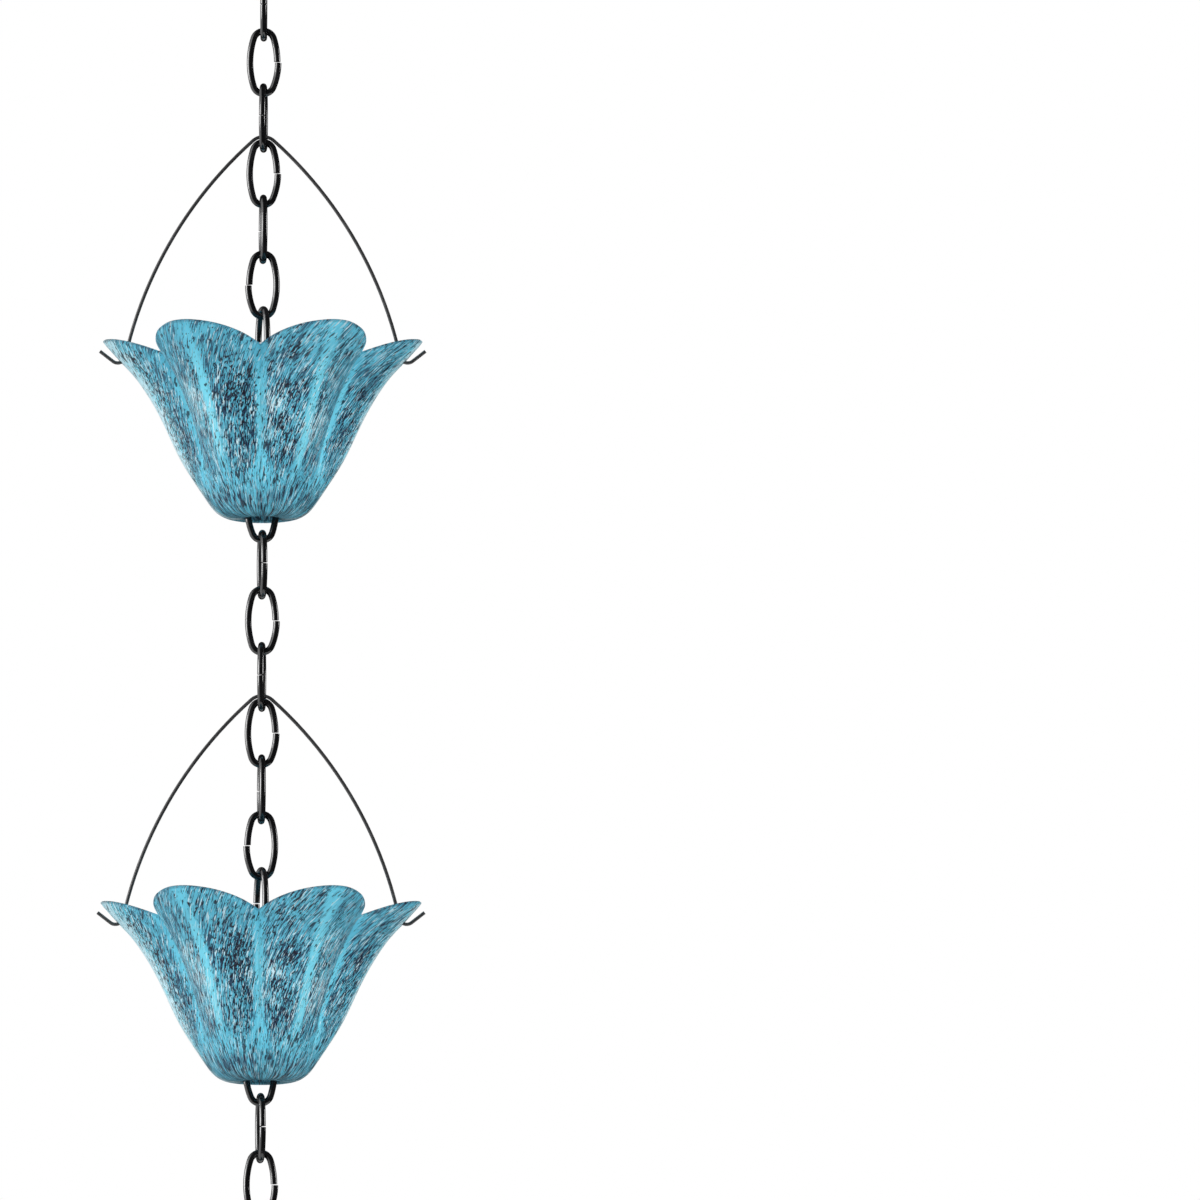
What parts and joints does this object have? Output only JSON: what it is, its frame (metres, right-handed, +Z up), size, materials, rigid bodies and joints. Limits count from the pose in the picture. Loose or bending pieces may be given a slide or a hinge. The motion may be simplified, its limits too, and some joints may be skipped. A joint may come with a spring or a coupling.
{
  "type": "rain chain",
  "caption": "Rain chain: fluted six-petal metal cups, each hung by a wire bail on a run of oval wire links, with a cut glass drop at the end.",
  "frame": {"origin": "inner top of the first link, where the chain bears on the hook that holds it", "axes": "+Z up along the chain, -Y to the front, X across the bails"},
  "size_m": [0.1692, 0.148, 2.5874],
  "materials": {
    "cup_paint": "satin, dry-brushed",
    "black_wire": "gloss",
    "amber_glass": "polished"
  },
  "bodies": {
    "root": {"hanging_link": "black_wire", "chain_top": "black_wire", "bail_link_1": "black_wire", "bail_1": "black_wire", "cup_1": "cup_paint", "chain_in_cup_1": "black_wire", "chain_below_cup_1": "black_wire", "bail_link_2": "black_wire", "bail_2": "black_wire", "cup_2": "cup_paint", "chain_in_cup_2": "black_wire", "chain_below_cup_2": "black_wire", "bail_link_3": "black_wire", "bail_3": "black_wire", "cup_3": "cup_paint", "chain_in_cup_3": "black_wire", "chain_below_cup_3": "black_wire", "bail_link_4": "black_wire", "bail_4": "black_wire", "cup_4": "cup_paint", "chain_in_cup_4": "black_wire", "chain_below_cup_4": "black_wire", "bail_link_5": "black_wire", "bail_5": "black_wire", "cup_5": "cup_paint", "chain_in_cup_5": "black_wire", "chain_below_cup_5": "black_wire", "bail_link_6": "black_wire", "bail_6": "black_wire", "cup_6": "cup_paint", "chain_in_cup_6": "black_wire", "chain_below_cup_6": "black_wire", "bail_link_7": "black_wire", "bail_7": "black_wire", "cup_7": "cup_paint", "chain_in_cup_7": "black_wire", "chain_below_cup_7": "black_wire", "bail_link_8": "black_wire", "bail_8": "black_wire", "cup_8": "cup_paint", "chain_in_cup_8": "black_wire", "chain_below_cup_8": "black_wire", "drop_ring": "black_wire", "crystal_drop": "amber_glass"}
  },
  "joints": []
}
